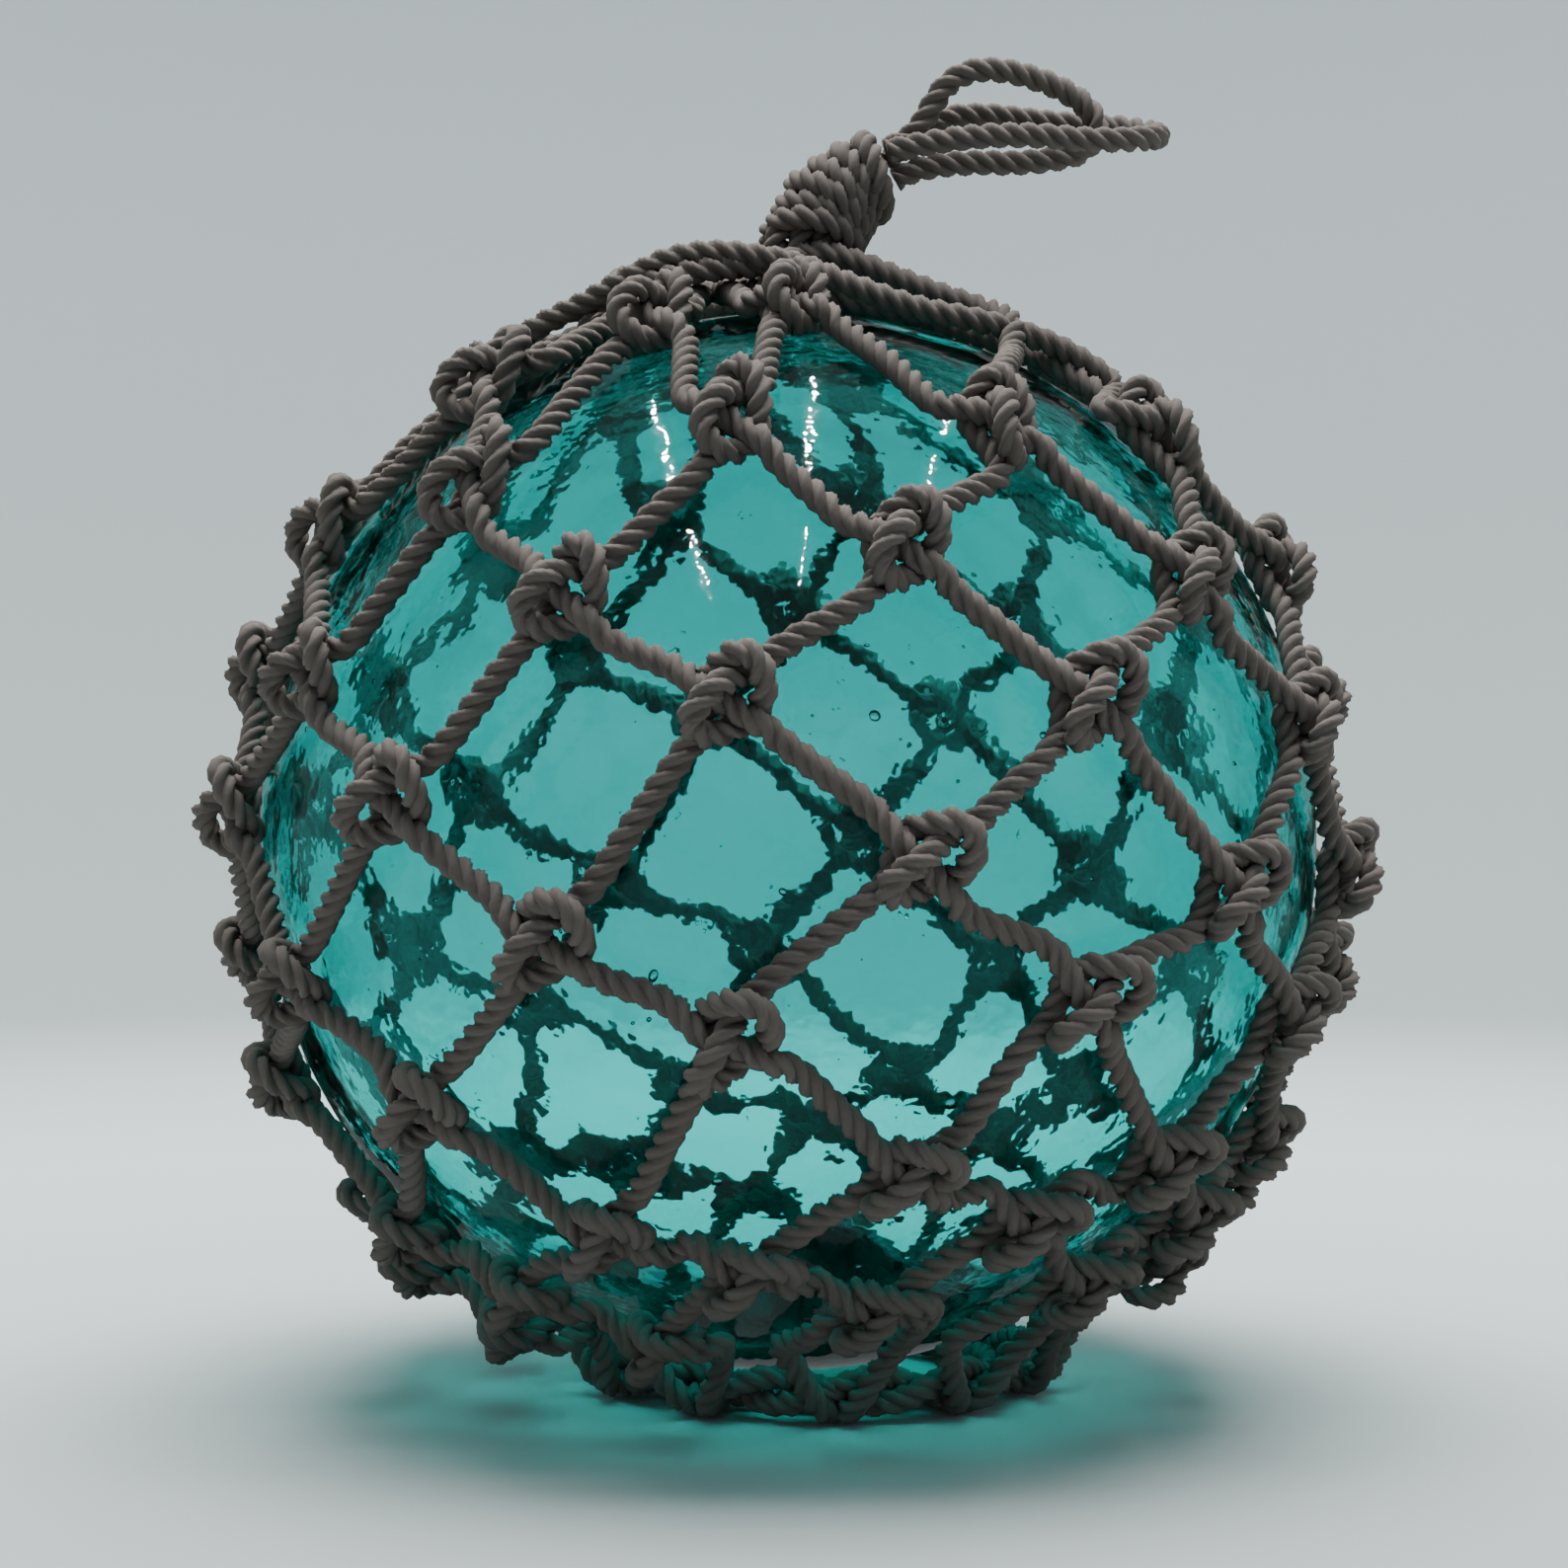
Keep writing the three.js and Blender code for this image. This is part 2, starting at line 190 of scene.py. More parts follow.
def rope_piece(name, paths, lobe_sides=NET_LOBE_SIDES):
    """One mesh object for several ropes. Its UV map holds the length along the rope in millimetres, and
    how far round it in strands, counted from a groove."""
    sides = STRANDS * lobe_sides
    vertices, quads, uvs, ends, first = [], [], [], [], 0
    for number, path in enumerate(paths):
        rings, along = rope_rings(path, lobe_sides, turn=TURN_BETWEEN_ROPES * number)
        along = along + SHIFT_BETWEEN_ROPES * number
        count = len(rings)
        vertices.append(rings.reshape(-1, 3))
        ring, side = np.meshgrid(np.arange(count - 1), np.arange(sides), indexing="ij")
        ring, side = ring.ravel(), side.ravel()
        here, there, following = ring * sides, (ring + 1) * sides, (side + 1) % sides
        corners = [here + side, here + following, there + following, there + side]
        quads.append(first + np.column_stack(corners))
        near, far = along[ring], along[ring + 1]
        low, high = side / lobe_sides, (side + 1) / lobe_sides
        uvs.append(np.stack([near, low, near, high, far, high, far, low], axis=1).reshape(-1, 2))
        ends.append([first + s for s in reversed(range(sides))])
        ends.append([first + (count - 1) * sides + s for s in range(sides)])
        first += count * sides
    mesh = bpy.data.meshes.new(name)
    mesh.from_pydata(to_world(np.vstack(vertices)).tolist(), [], np.vstack(quads).tolist() + ends)
    uv_map = mesh.uv_layers.new(name="rope")
    flat = np.zeros((len(mesh.loops), 2))  # the ends stay at nought
    flat[: sum(len(u) for u in uvs)] = np.vstack(uvs)
    uv_map.data.foreach_set("uv", flat.astype(np.float32).ravel())
    sharpen_grooves(mesh, lobe_sides)
    return add_object(name, mesh, rope_material())


def finish_rope(piece, *nodes):
    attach(piece, "root")
    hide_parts(*nodes)


# ---------------------------------------------------------------------------------------------
# The two free loops of the hanger. Their routes are those of the CAD part.
# ---------------------------------------------------------------------------------------------

ROUND_LOOP = [
    (27.9, 0.3, 198.4), (33.2, 0.4, 200.4), (38.2, 0.5, 205.2), (41.8, 0.5, 211.4), (46.3, 0.4, 217.4),
    (53.5, 0.2, 220.9), (62.5, 0, 220.8), (71.8, 0, 218.4), (80, 0, 214.8), (86.2, 0, 210), (88.8, 0, 203.8),
    (85, 0, 198), (77.5, 0, 195.6), (66, 0, 194.4), (54, 0, 194.4), (42, 0, 193.4), (35, 0, 191.6),
    (30.9, 0, 189.5),
]
LONG_LOOP = [
    (28.5, -7.6, 196), (33.5, -7.9, 197.2), (40.5, -9, 198.4), (49, -11.6, 199.1), (60, -13.6, 199.5),
    (72, -14.2, 199.2), (82.5, -14.2, 198.3), (91.5, -13.8, 198.1), (99.2, -11.3, 198.9),
    (104.6, -5.8, 200.5), (106.3, 1, 202.5), (104.2, 7.8, 204.9), (98.5, 12.6, 207), (90, 14.4, 208),
    (80, 14.1, 208.6), (70, 12.8, 209.4), (58, 11, 210.3), (48, 9.8, 209.6), (40.5, 8.8, 206.2),
    (34, 8, 200.6), (28.5, 7.6, 196),
]


def make_loop(name, node, route):
    path = even_path(route)
    loop = rope_piece(name, [path], HANGER_LOBE_SIDES)
    finish_rope(loop, node)


# ---------------------------------------------------------------------------------------------
# The hanger's coil: turns wound on a short bent axis, open at its lower end, where three legs show
# ---------------------------------------------------------------------------------------------

COIL_TURNS = 5.7
COIL_POINTS = 16  # to each turn
COIL_BEND_CENTRE = (33.5, 165.0)
COIL_BEND_RADIUS = 27.0
COIL_ANGLES = (172.0, 106.0)  # around the bend's centre, from +X towards +Z
COIL_RADII = (12.6, 9.4)
COIL_SWELL = 0.05  # how much wider or narrower than even the turns get
COIL_SWELL_WAVES = 0.37  # to each turn
COIL_SWELL_START = 40.0
COIL_FRONT_LIFT = 0.5  # how far the first turn's front is raised, which opens the coil to the front
COIL_LIFT_LOSS = 0.75  # the share of that lift that is gone at the last turn
COIL_START = 200.0
COIL_LEGS = [
    [(-6.5, -12, 156), (-5, -9.5, 163), (-3.4, -7.5, 170), (-0.5, -5, 178), (3, -3, 184)],
    [(1.5, -15, 157), (2.6, -11.5, 163), (3.6, -8.5, 170), (5.5, -6, 178), (8, -4, 185)],
    [(9.5, -13, 156), (9.6, -9.5, 163), (10, -7, 170), (11, -5, 178), (13, -3, 185)],
    [(2, 12, 157), (3, 9, 163), (4, 7, 170), (7, 4, 178), (10, 3, 185)],
]


def coil_path():
    points = []
    steps = round(COIL_TURNS * COIL_POINTS)
    for i in range(steps + 1):
        share = i / steps
        bend = COIL_ANGLES[0] + share * (COIL_ANGLES[1] - COIL_ANGLES[0])
        radius = COIL_RADII[0] + share * (COIL_RADII[1] - COIL_RADII[0])
        around = COIL_START + share * COIL_TURNS * 360
        swell = 1 + COIL_SWELL * sind(around * COIL_SWELL_WAVES + COIL_SWELL_START)
        outward, sideways = radius * swell * cosd(around), radius * swell * sind(around)
        lift = -COIL_FRONT_LIFT * (1 - COIL_LIFT_LOSS * share) * sideways
        points.append(
            (
                COIL_BEND_CENTRE[0] + (COIL_BEND_RADIUS + outward) * cosd(bend) + lift * sind(bend),
                sideways,
                COIL_BEND_CENTRE[1] + (COIL_BEND_RADIUS + outward) * sind(bend) - lift * cosd(bend),
            )
        )
    return even_path(points)


def make_coil():
    paths = [coil_path()] + [even_path(leg) for leg in COIL_LEGS]
    coil = rope_piece("hanger_coil", paths, HANGER_LOBE_SIDES)
    finish_rope(coil, "hanger_knot")


# ---------------------------------------------------------------------------------------------
# The net's lattice, as in the CAD part: rows of eleven knots, each row half a mesh on from the last
# ---------------------------------------------------------------------------------------------

KNOTS_PER_ROW = 11
COLUMNS = 2 * KNOTS_PER_ROW
HALF_MESH = 180 / KNOTS_PER_ROW
ROW_LATITUDES = [66, 42.3, 25.9, 12.2, -3.9, -16.5, -33, -40.7, -50]
FIRST_ROW = -1
LAST_ROW = FIRST_ROW + len(ROW_LATITUDES) - 1
LEAN_LEFT = 8.2
LEAN_FORWARD = 0.3
NET_TURN = -1.9  # the whole net is turned by this about its axis, in degrees as all that follow
ROW_TURN = -1.8  # and each row by this from the one above
COLUMN_SWAY = 3.6  # how far columns stand off an even spacing
KNOT_UNEVENNESS = 2.2  # how far knots stand above or below their row
SIDE_DROOP = 2.5  # how far a row hangs at the ball's sides, and how much further on the right
SAGGED_KNOTS = {(-1, -3): -6.0}  # the latitude of a knot that has slipped, from its row's
PLAIN_CROSSINGS = [(-1, 5)]  # places where the ropes cross with no knot


def lean_net(vector):
    """Turns a direction or point of the upright net to where the net leans."""
    x, y, z = vector
    y, z = (
        y * cosd(LEAN_FORWARD) - z * sind(LEAN_FORWARD),
        y * sind(LEAN_FORWARD) + z * cosd(LEAN_FORWARD),
    )
    return np.array([x * cosd(LEAN_LEFT) - z * sind(LEAN_LEFT), y, x * sind(LEAN_LEFT) + z * cosd(LEAN_LEFT)])


def net_direction(longitude, latitude):
    return lean_net((cosd(latitude) * sind(longitude), -cosd(latitude) * cosd(longitude), sind(latitude)))


def knot_longitude(row, column):
    around = HALF_MESH * column
    return around + NET_TURN + ROW_TURN * row + COLUMN_SWAY * sind(around - 4 * row + 38)


def knot_direction(row, column):
    around = HALF_MESH * column
    longitude = knot_longitude(row, column)
    row_latitude = ROW_LATITUDES[row - FIRST_ROW]
    droop = SIDE_DROOP * (1 - cosd(2 * longitude)) + SIDE_DROOP * sind(longitude)
    unevenness = KNOT_UNEVENNESS * sind(4 * around - 19 * row + 94.5)
    wrapped = (column + KNOTS_PER_ROW) % COLUMNS - KNOTS_PER_ROW
    sag = SAGGED_KNOTS.get((row, wrapped), 0)
    return net_direction(longitude, row_latitude + cosd(row_latitude) * (unevenness - droop) + sag)


# ---------------------------------------------------------------------------------------------
# One knot, a sheet bend. Its ropes' centres in rope diameters: x east, y north, z above the glass.
# ---------------------------------------------------------------------------------------------

# The rope that comes up from the lower left, goes round the other rope and leaves to the upper right
KNOT_LOOP = [
    (-2.1, -2.1, 0.75), (-1.25, -1.1, 0.55), (-1.05, 0.1, 0.5), (-0.95, 0.9, 0.55), (-0.6, 1.5, 0.9),
    (0.1, 1.8, 1.45), (0.85, 1.95, 1.95), (1.55, 1.55, 2.0), (1.8, 0.7, 1.75), (1.6, -0.2, 1.1),
    (1.0, -0.8, 0.55), (0.3, -1.15, 0.5), (-0.5, -1.5, 0.8), (-1.15, -1.6, 1.35), (-1.5, -1.15, 1.9),
    (-1.2, -0.6, 2.2), (-0.65, -0.1, 2.3), (-0.1, 0.4, 2.1), (0.5, 0.95, 1.4), (1.2, 1.55, 0.85),
    (2.1, 2.1, 0.75),
]
# The rope that comes down from the upper left and leaves to the lower right
KNOT_STRAIGHT = [
    (-2.1, 2.1, 0.75), (-1.35, 1.2, 1.15), (-0.75, 0.45, 1.4), (0, -0.1, 1.15), (0.75, -0.75, 1.05),
    (1.35, -1.3, 1.2), (2.1, -2.1, 0.75),
]
KNOT_SCALE = 0.75
KNOT_SCALE_RANGE = (0.92, 1.08)
KNOT_RISE_RANGE = (0.92, 1.06)  # of its pattern's height above the ropes that lie on the glass
KNOT_TWIST_RANGE = (-9, 9)  # degrees that one rope is turned towards the other, or away from it
KNOT_SEED_SHIFT = 9  # keeps the first row's random seed above nought
KNOT_THICKNESS = 0.98  # the share of its thickness that a rope keeps where it is pulled tight in a knot
LOW_ROPE_HEIGHT = 0.55  # of a rope that lies on the glass
HIGH_ROPE_HEIGHT = 1.5  # of a rope that crosses over it with no knot
LEG_ANGLES = (36.0, 56.0)  # the least and the greatest slope of the ropes through a knot
MID_LEG_HEIGHT = 0.62


class Knot:
    """Where one knot sits on the ball, and which way its ropes run."""

    def __init__(self, row, column):
        self.outward = knot_direction(row, column)
        self.plain = (row, column % COLUMNS) in PLAIN_CROSSINGS
        axis = lean_net((0, 0, 1))
        east = unit(np.cross(axis, self.outward))
        north = np.cross(self.outward, east)
        random = np.random.default_rng([row + KNOT_SEED_SHIFT, column % COLUMNS])
        self.scale = KNOT_SCALE * random.uniform(*KNOT_SCALE_RANGE)
        self.rise = random.uniform(*KNOT_RISE_RANGE)
        twist = random.uniform(*KNOT_TWIST_RANGE)
        up_row, down_row = max(row - 1, FIRST_ROW), min(row + 1, LAST_ROW)

        def slope(high, low):
            run = knot_direction(*high) - knot_direction(*low)
            angle = math.degrees(math.atan2(abs(run.dot(north)), abs(run.dot(east))))
            return min(max(angle, LEG_ANGLES[0]), LEG_ANGLES[1])

        rising = slope((up_row, column + (up_row != row)), (down_row, column - (down_row != row))) + twist
        falling = slope((up_row, column - (up_row != row)), (down_row, column + (down_row != row))) - twist
        self.rising = cosd(rising) * east + sind(rising) * north
        self.falling = cosd(falling) * east - sind(falling) * north

    def place(self, x, y, z, thickness=KNOT_THICKNESS):
        """A point of the knot's pattern, laid on the ball."""
        along, across = (x + y) / math.sqrt(2), (x - y) / math.sqrt(2)
        offset = self.scale * ROPE_DIAMETER * (along * self.rising + across * self.falling)
        height = ROPE_DIAMETER * (LOW_ROPE_HEIGHT + (z - LOW_ROPE_HEIGHT) * self.rise)
        return [*((BALL_RADIUS + height) * unit(self.outward * BALL_RADIUS + offset)), thickness]

    def rope(self, pattern, crossing_height):
        """One rope's points through the knot, or its single point where the ropes only cross."""
        if self.plain:
            return [self.place(0, 0, crossing_height, 1)]
        points = [self.place(*p) for p in pattern]
        points[0][3] = points[-1][3] = 1
        return points

    def loop(self):
        return self.rope(KNOT_LOOP, LOW_ROPE_HEIGHT)

    def straight(self):
        return self.rope(KNOT_STRAIGHT, HIGH_ROPE_HEIGHT)


def join_legs(groups):
    """Strings the groups of points together, with a point half way along each leg between them."""
    points = list(groups[0])
    for group in groups[1:]:
        start, end = np.array(points[-1][:3]), np.array(group[0][:3])
        middle = (BALL_RADIUS + MID_LEG_HEIGHT * ROPE_DIAMETER) * unit(start + end)
        points.append([*middle, 1])
        points.extend(group)
    return points


# ---------------------------------------------------------------------------------------------
# The throat on top: the net's ropes tuck in under a ring of turns, and two long ropes cross it
# ---------------------------------------------------------------------------------------------

THROAT_TUCK = [(44, 148), (33, 152), (22, 154.5), (12, 157)]  # radius and height about the net's axis
THROAT_TURNS = 2.7
THROAT_POINTS = 14  # to each turn
THROAT_START = 120.0
THROAT_RADII = (37.0, 23.0)
THROAT_HEIGHTS = (156.5, 165.0)
THROAT_RADIUS_SWAY, THROAT_RADIUS_WAVES = 1.2, 3.3  # millimetres, and waves to each turn
THROAT_HEIGHT_SWAY, THROAT_HEIGHT_WAVES = 1.0, 2.3
# A long rope from a knot on the left, up over the ring's front and down to the right
OVER_ROPE = [
    (-91, -2, 126), (-85, -9, 134), (-71.6, -20, 143.6),
    (-57.4, -24, 150.2), (-43.4, -29, 157.1), (-32.3, -32, 161.6), (-21.3, -34, 162.9), (-7.7, -34, 161.7),
    (6, -32, 158.8), (19.7, -34, 153), (36, -35, 147.4), (51.2, -36, 144), (66.4, -31, 140.5),
    (78.9, -28, 135.5), (91.4, -27, 126.5),
]
# A long rope from the right up to the ring, behind the one above
SIDE_ROPE = [
    (61, -44, 134), (61.5, -30, 144.5), (54.5, -20, 149.5), (45, -18, 153), (32.7, -16, 158),
    (20.2, -14, 163.4), (9, -12, 166.6), (-1, -8, 165), (-10, 0, 161),
]
LONG_ROPE_COLUMN = 3  # the top row's place where these two stand in for a knot


def throat_point(longitude, radius, height):
    return lean_net((radius * sind(longitude), -radius * cosd(longitude), height))


def throat_tuck(longitude):
    return [throat_point(longitude, radius, height) for radius, height in THROAT_TUCK]


def throat_ring():
    points = []
    steps = round(THROAT_TURNS * THROAT_POINTS)
    for i in range(steps + 1):
        share = i / steps
        longitude = THROAT_START + share * THROAT_TURNS * 360
        radius = THROAT_RADII[0] + share * (THROAT_RADII[1] - THROAT_RADII[0])
        radius += THROAT_RADIUS_SWAY * sind(THROAT_RADIUS_WAVES * longitude)
        height = THROAT_HEIGHTS[0] + share * (THROAT_HEIGHTS[1] - THROAT_HEIGHTS[0])
        height += THROAT_HEIGHT_SWAY * sind(THROAT_HEIGHT_WAVES * longitude)
        points.append(throat_point(longitude, radius, height))
    return even_path(points)


# ---------------------------------------------------------------------------------------------
# The base: two ropes laid round each other as a ring, with the net's ropes hitched over it
# ---------------------------------------------------------------------------------------------

BASE_CENTRE = (9.0, 2.0)
BASE_RADIUS = 59.0
BASE_HEIGHT = 8.6
BASE_SWAY = 1.5  # how far the rings stand off a true circle
BASE_TWISTS = 7
BASE_TWIST_POINTS = 16  # to each twist
BASE_TWIST_RADIUS = 3.4
# A net rope's hitch: radius from the base's centre, and height above the floor
BASE_HITCH = [(78, 24), (71, 15.5), (68.5, 9), (65, 4.7), (57, 4.1), (49, 4.9)]
INNER_RING = (47.5, 4.9)  # the radius and height of a third rope inside the two
INNER_RING_STEP = 8  # degrees
INNER_RING_RISE = 0.6


def base_point(longitude, radius, height):
    return np.array(
        [BASE_CENTRE[0] + radius * sind(longitude), BASE_CENTRE[1] - radius * cosd(longitude), FLOOR + height]
    )


def base_hitch(longitude, sway):
    """The end of a net rope, from above the ring over its outside and in under it."""
    steps = len(BASE_HITCH) - 1
    return [
        base_point(longitude + sway * i / steps, radius, height)
        for i, (radius, height) in enumerate(BASE_HITCH)
    ]


def base_rings():
    """The ring's two ropes, and a third lying inside them."""
    paths = []
    steps = BASE_TWIST_POINTS * BASE_TWISTS
    for side in (0, 180):
        points = []
        for i in range(steps + 2):
            around = 360 * i / steps
            twist = BASE_TWISTS * around + side
            points.append(
                base_point(
                    around,
                    BASE_RADIUS + BASE_TWIST_RADIUS * cosd(twist) + BASE_SWAY * sind(2 * around + 50),
                    BASE_HEIGHT + BASE_TWIST_RADIUS * sind(twist),
                )
            )
        paths.append(even_path(points))
    inner = [
        base_point(
            around,
            INNER_RING[0] + BASE_SWAY * sind(5 * around),
            INNER_RING[1] + INNER_RING_RISE * sind(4 * around),
        )
        for around in range(0, 361, INNER_RING_STEP)
    ]
    return [*paths, even_path(inner)]


# ---------------------------------------------------------------------------------------------
# The whole net
# ---------------------------------------------------------------------------------------------

TUCK_OFFSET = 7  # degrees from a first-row knot round to where its two ropes tuck under the throat's ring
HITCH_OFFSET = 0.7 * HALF_MESH  # and from a last-row knot to where its two ropes reach the base
HITCH_SWAY = 14  # degrees round the base that a rope runs on while it goes under it


def rising_rope(column):
    """The rope that climbs to the right from the base to the throat, by the last row's knot in column."""
    bottom = base_hitch(knot_longitude(LAST_ROW, column) - HITCH_OFFSET, sway=HITCH_SWAY)
    groups = [bottom[::-1]]
    for climb, row in enumerate(range(LAST_ROW, FIRST_ROW - 1, -1)):
        here = column + climb
        if (row, here % COLUMNS) == (FIRST_ROW, LONG_ROPE_COLUMN):
            return join_legs(groups + [SIDE_ROPE])
        groups.append(Knot(row, here).loop())
    return join_legs(groups + [throat_tuck(knot_longitude(FIRST_ROW, here) + TUCK_OFFSET)])


def falling_rope(column):
    """The rope that falls to the right from the throat to the base, by the first row's knot in column."""
    if column % COLUMNS == LONG_ROPE_COLUMN:
        groups = [OVER_ROPE]
    else:
        tuck = throat_tuck(knot_longitude(FIRST_ROW, column) - TUCK_OFFSET)
        groups = [tuck[::-1], Knot(FIRST_ROW, column).straight()]
    for fall, row in enumerate(range(FIRST_ROW + 1, LAST_ROW + 1), start=1):
        groups.append(Knot(row, column + fall).straight())
    last = knot_longitude(LAST_ROW, column + LAST_ROW - FIRST_ROW)
    return join_legs(groups + [base_hitch(last + HITCH_OFFSET, sway=-HITCH_SWAY)])


def make_net():
    odd_columns = range(1, COLUMNS, 2)
    rising = [even_path(rising_rope(column)) for column in odd_columns]
    falling = [even_path(falling_rope(column)) for column in odd_columns]
    half = len(rising) // 2
    pieces = {
        "net_rising_ropes_1": rising[:half],
        "net_rising_ropes_2": rising[half:],
        "net_falling_ropes": falling,
        "net_throat_ring": [throat_ring()],
        "net_base_ring": base_rings(),
    }
    for name, paths in pieces.items():
        finish_rope(rope_piece(name, paths), "rope_net")


# ---------------------------------------------------------------------------------------------
# Glass: a blown shell with an uneven inner face, seeds and bubbles in its wall, and its seal
# ---------------------------------------------------------------------------------------------

OUTER_RADIUS = BALL_RADIUS - 0.15
INNER_RADIUS = 145.4
# Waves of each face: height in millimetres, length in millimetres, and where in the noise they start
OUTER_WAVES = [(0.22, 60, 3), (0.05, 22, 11), (0.012, 9, 17)]
INNER_WAVES = [(0.5, 55, 29), (0.11, 21, 37), (0.05, 9, 43)]
SHELL_DIVISIONS = 7
SEAL_DIRECTION = unit(np.array([12.0, -4.0, -144.0]))
SEAL_REACH = 62.0
SEAL_HEIGHT = 36.0
CROWN_DIRECTION = unit(np.array([38.0, -22.0, 140.0]))
CROWN_REACH = 34.0
CROWN_HEIGHT = 5.0
SEEDS = 420
SEED_SIZES = (0.22, 0.5)  # half a seed's width: the least, and how much more it may be
SEED_LENGTHS = (1, 1.6)  # times the width
BUBBLES = 46
BUBBLE_SIZES = (0.8, 1.3)
BUBBLE_LENGTHS = (1, 1.7)
BUBBLE_HALF_DEPTH = 0.75
BUBBLE_DISTANCE = (146.9, 148.6)  # of seeds and bubbles from the ball's centre


def wave(direction, size, offset):
    """Smooth noise over the ball, in waves about so many millimetres long."""
    return noise.noise(Vector(direction) * (BALL_RADIUS / size) + Vector((offset, 0, 0)))


def wavy_radius(radius, waves, direction):
    for height, length, offset in waves:
        radius += height * wave(direction, length, offset)
    return radius


def outer_radius(direction):
    return wavy_radius(OUTER_RADIUS, OUTER_WAVES, direction)


def share_from(direction, middle, reach):
    """How far a direction is from a thick spot's middle, as a share of the spot's reach."""
    return BALL_RADIUS * math.acos(np.clip(direction.dot(middle), -1, 1)) / reach


def inner_radius(direction):
    """The uneven inner face, with a mound of glass over the seal and a rippled one at the crown."""
    radius = wavy_radius(INNER_RADIUS, INNER_WAVES, direction)
    from_seal = share_from(direction, SEAL_DIRECTION, SEAL_REACH)
    if from_seal < 1:
        radius -= SEAL_HEIGHT * (1 - from_seal**2) ** 2
    from_crown = share_from(direction, CROWN_DIRECTION, CROWN_REACH)
    if from_crown < 1:
        radius -= CROWN_HEIGHT * (1 - from_crown**2) * (0.6 + 0.4 * math.cos(3 * math.pi * from_crown))
    return radius


def turn_inside_out(mesh, vertices):
    faces = {face for vertex in vertices for face in vertex.link_faces}
    bmesh.ops.reverse_faces(mesh, faces=list(faces))


def add_shell(mesh, radius_at, inward):
    made = bmesh.ops.create_icosphere(mesh, subdivisions=SHELL_DIVISIONS, radius=1)
    for vertex in made["verts"]:
        direction = np.array(vertex.co.normalized())
        vertex.co = to_world(direction * radius_at(direction))
    if inward:
        turn_inside_out(mesh, made["verts"])


def add_bubble(mesh, centre, outward, sizes, turn, divisions):
    """A hollow in the wall: sizes are its half length, half width and half depth in millimetres."""
    made = bmesh.ops.create_icosphere(mesh, subdivisions=divisions, radius=1)
    level = unit(np.cross([0, 0, 1], outward))
    upright = np.cross(outward, level)
    long = cosd(turn) * level + sind(turn) * upright
    wide = np.cross(outward, long)
    for vertex in made["verts"]:
        x, y, z = vertex.co
        vertex.co = to_world(centre + x * sizes[0] * long + y * sizes[1] * wide + z * sizes[2] * outward)
    turn_inside_out(mesh, made["verts"])


def make_glass():
    mesh = bmesh.new()
    add_shell(mesh, outer_radius, inward=False)
    add_shell(mesh, inner_radius, inward=True)
    random = np.random.default_rng(5)
    for number in range(SEEDS + BUBBLES):
        outward = unit(random.normal(size=3))
        centre = outward * random.uniform(*BUBBLE_DISTANCE)
        if number < SEEDS:
            size = SEED_SIZES[0] + SEED_SIZES[1] * random.random() ** 3
            sizes, divisions = (size * random.uniform(*SEED_LENGTHS), size, size), 1
        else:
            size = BUBBLE_SIZES[0] + BUBBLE_SIZES[1] * random.random() ** 2
            sizes, divisions = (size * random.uniform(*BUBBLE_LENGTHS), size, BUBBLE_HALF_DEPTH), 2
        add_bubble(mesh, centre, outward, sizes, random.uniform(0, 180), divisions)
    data = bpy.data.meshes.new("glass_float")
    mesh.to_mesh(data)
    mesh.free()
    piece = add_object("glass_float", data, glass_material())
    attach(piece, "root")
    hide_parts("glass_ball")


# ---------------------------------------------------------------------------------------------
# Materials
# ---------------------------------------------------------------------------------------------


class Nodes:
    """A short way to write a material's nodes and the links between them."""

    def __init__(self, name):
        self.material = bpy.data.materials.new(name)
        self.material.use_nodes = True
        self.tree = self.material.node_tree
        self.tree.nodes.clear()

    def add(self, kind, inputs=(), **settings):
        """A node with its settings, and its inputs set to values or linked to other nodes' outputs."""
        node = self.tree.nodes.new("ShaderNode" + kind)
        for key, value in settings.items():
            setattr(node, key, value)
        for key, value in dict(inputs).items():
            if isinstance(value, bpy.types.NodeSocket):
                self.tree.links.new(value, node.inputs[key])
            else:
                node.inputs[key].default_value = value
        return node

    def math(self, operation, first, second=0.0):
        return self.add("Math", {0: first, 1: second}, operation=operation).outputs[0]

    def multiply(self, first, second):
        """One colour multiplied by another."""
        inputs = {0: 1.0, 6: first, 7: second}  # the node's share, and its two colours
        return self.add("Mix", inputs, data_type="RGBA", blend_type="MULTIPLY").outputs[2]

    def ramp(self, value, stops):
        """Colours or greys that follow a value from 0 to 1."""
        node = self.add("ValToRGB", {0: value})
        elements = node.color_ramp.elements
        while len(elements) < len(stops):
            elements.new(1)
        for element, (position, colour) in zip(elements, stops):
            element.position = position
            element.color = (*colour, 1) if isinstance(colour, tuple) else (colour, colour, colour, 1)
        return node.outputs[0]


YARNS_PER_STRAND = 5
YARN_SLANT = 0.2  # yarns passed over for each millimetre along the rope
FIBRE_STRETCH = (0.16, 1.3)  # of the fibre noise, for each millimetre along and for each yarn across
ROPE_SHADES = [(0.0, (0.012, 0.009, 0.008)), (0.5, (0.066, 0.051, 0.044)), (1.0, (0.29, 0.24, 0.21))]
ROPE_GROOVE_PAINTED_SHADE = [(0.0, 1.0), (0.3, 0.95), (0.6, 0.5), (0.85, 0.12), (1.0, 0.05)]  # painted shade, darkest in the groove: from crown to groove
# What each pattern adds to the rope's shade, and to its height for the bump
YARN_SHADE, FIBRE_SHADE, FADING_SHADE, GRAIN_SHADE = 0.22, 1.3, 0.75, 0.3
YARN_HEIGHT, FIBRE_HEIGHT, GRAIN_HEIGHT = 0.3, 1.1, 0.25


